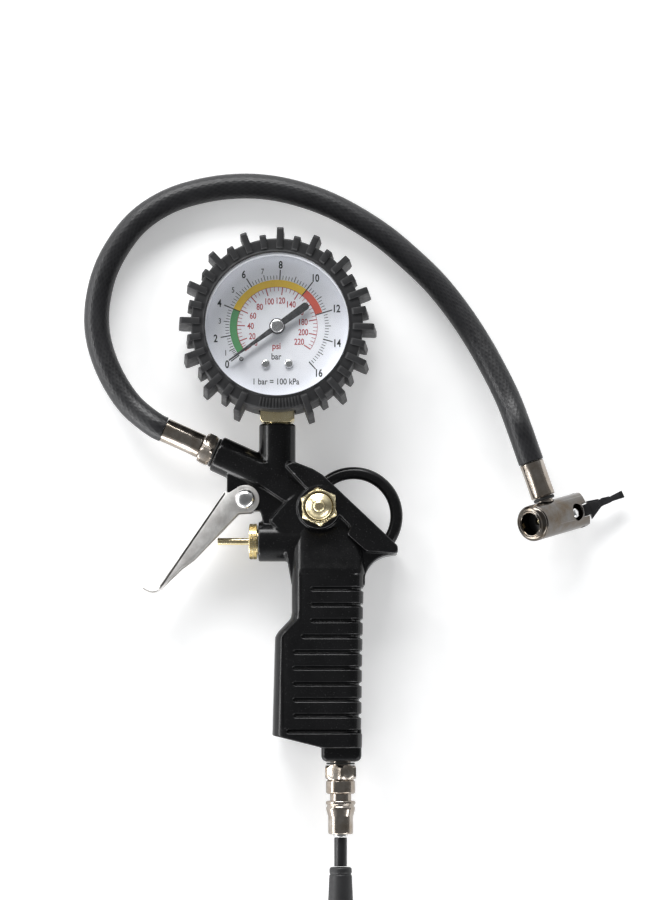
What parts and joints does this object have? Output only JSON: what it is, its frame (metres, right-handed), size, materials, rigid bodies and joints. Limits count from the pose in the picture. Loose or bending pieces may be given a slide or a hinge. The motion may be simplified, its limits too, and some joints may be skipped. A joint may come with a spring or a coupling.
{
  "type": "tyre inflator with gauge",
  "caption": "Pistol-grip tyre inflator with trigger valve, dial pressure gauge in a rubber boot, hanging ring, short hose and clip-on lever chuck.",
  "frame": {"origin": "on the rest plane, under the middle of the grip's side face", "axes": "+X from the trigger to the back of the grip, +Y from the grip to the gauge, +Z out of the dial"},
  "size_m": [0.2229, 0.3027, 0.0356],
  "materials": {
    "casting_black": "gloss powder coat",
    "ring_black": "gloss black",
    "trigger_steel": "zinc plated sheet",
    "rivet_steel": "polished",
    "brass": "satin",
    "nickel": "bright nickel plate",
    "spring_steel": "satin",
    "seal_black": "matte",
    "neck_black": "satin",
    "boot_rubber": "matte",
    "hose_rubber": "woven imprint",
    "lever_black": "moulded",
    "case_steel": "gloss black",
    "lens_glass": "clear",
    "dial_white": "satin white",
    "needle_black": "satin black"
  },
  "bodies": {
    "gun": {"body_casting": "casting_black", "hanger_ring": "ring_black", "trigger_rivet": "rivet_steel", "valve_gland": "brass", "gland_seal": "seal_black", "valve_seat": "brass", "valve_spring": "spring_steel", "deflate_gland": "brass", "deflate_spring": "spring_steel", "inlet_coupler": "nickel", "inlet_gasket": "seal_black", "supply_plug": "rivet_steel", "supply_neck": "neck_black", "supply_boot": "boot_rubber", "hose_fitting": "nickel", "fitting_washer": "seal_black", "near_ferrule": "nickel", "hose": "hose_rubber", "far_ferrule": "nickel", "chuck_stem": "nickel", "chuck_o_ring": "seal_black", "chuck_body": "nickel", "chuck_bezel": "nickel", "chuck_seal": "seal_black", "chuck_core_pin": "brass", "chuck_lever_pin": "rivet_steel", "gauge_boot": "boot_rubber", "gauge_case": "case_steel", "gauge_bezel": "case_steel", "gauge_lens": "lens_glass", "dial_spacer": "dial_white", "dial_plate": "dial_white", "dial_screw_1": "rivet_steel", "dial_screw_2": "rivet_steel", "pointer_stop": "rivet_steel", "movement_back_plate": "brass", "movement_front_plate": "brass", "hairspring": "brass", "bourdon_tube": "brass", "gauge_socket": "brass"},
    "trigger": {"trigger_lever": "trigger_steel"},
    "valve_stem": {"push_pin": "brass", "valve_poppet": "seal_black"},
    "deflate": {"deflate_button": "brass", "deflate_seal": "seal_black"},
    "sleeve": {"inlet_sleeve": "nickel"},
    "lever": {"chuck_lever": "lever_black"},
    "latch": {"chuck_latch": "nickel"},
    "needle": {"pointer": "needle_black", "pointer_cap": "rivet_steel", "pinion_shaft": "brass"},
    "sector": {"sector_gear": "brass", "sector_arbor": "rivet_steel"},
    "link": {"tip_link": "rivet_steel"}
  },
  "joints": [
    {"name": "trigger_squeeze", "type": "hinge", "parent": "gun", "child": "trigger", "pos_m": [-0.0305, 0.0614, 0.013], "axis": [0, 0, 1], "range_deg": [0, 34], "stiffness_Nm_per_rad": 0.1},
    {"name": "pin_slide", "type": "slide", "parent": "gun", "child": "valve_stem", "axis": [1, 0, 0], "range_m": [0, 0.0042], "deforming": ["valve_spring"]},
    {"name": "deflate_press", "type": "slide", "parent": "gun", "child": "deflate", "axis": [0, 0, -1], "range_m": [0, 0.0016], "stiffness_N_per_m": 600, "deforming": ["deflate_spring"]},
    {"name": "sleeve_slide", "type": "slide", "parent": "gun", "child": "sleeve", "axis": [0, 1, 0], "range_m": [0, 0.0024], "stiffness_N_per_m": 500},
    {"name": "lever_lift", "type": "hinge", "parent": "gun", "child": "lever", "pos_m": [0.10557, 0.05748, 0.00785], "axis": [0.3256, -0.9455, 0], "range_deg": [0, 14], "stiffness_Nm_per_rad": 0.05},
    {"name": "latch_slide", "type": "slide", "parent": "gun", "child": "latch", "axis": [0.6203, 0.2136, -0.7547], "range_m": [0, 0.0009]},
    {"name": "needle_sweep", "type": "hinge", "parent": "gun", "child": "needle", "pos_m": [-0.0175, 0.1319, 0.013], "axis": [0, 0, 1], "range_deg": [-265, 0], "stiffness_Nm_per_rad": 0.0002},
    {"name": "sector_swing", "type": "hinge", "parent": "gun", "child": "sector", "pos_m": [-0.00692, 0.12544, 0.013], "axis": [0, 0, 1], "range_deg": [-1, 49]},
    {"name": "link_shift", "type": "slide", "parent": "gun", "child": "link", "axis": [0.1252, 0.9921, 0], "range_m": [0, 0.0039], "deforming": ["bourdon_tube", "hairspring"]}
  ],
  "couplings": [
    {"joint": "pin_slide", "follows": "trigger_squeeze", "m_per_rad": 0.006909},
    {"joint": "latch_slide", "follows": "lever_lift", "m_per_rad": 0.0036823},
    {"joint": "sector_swing", "follows": "needle_sweep", "ratio": -0.18269},
    {"joint": "link_shift", "follows": "needle_sweep", "m_per_rad": -0.00081561}
  ]
}
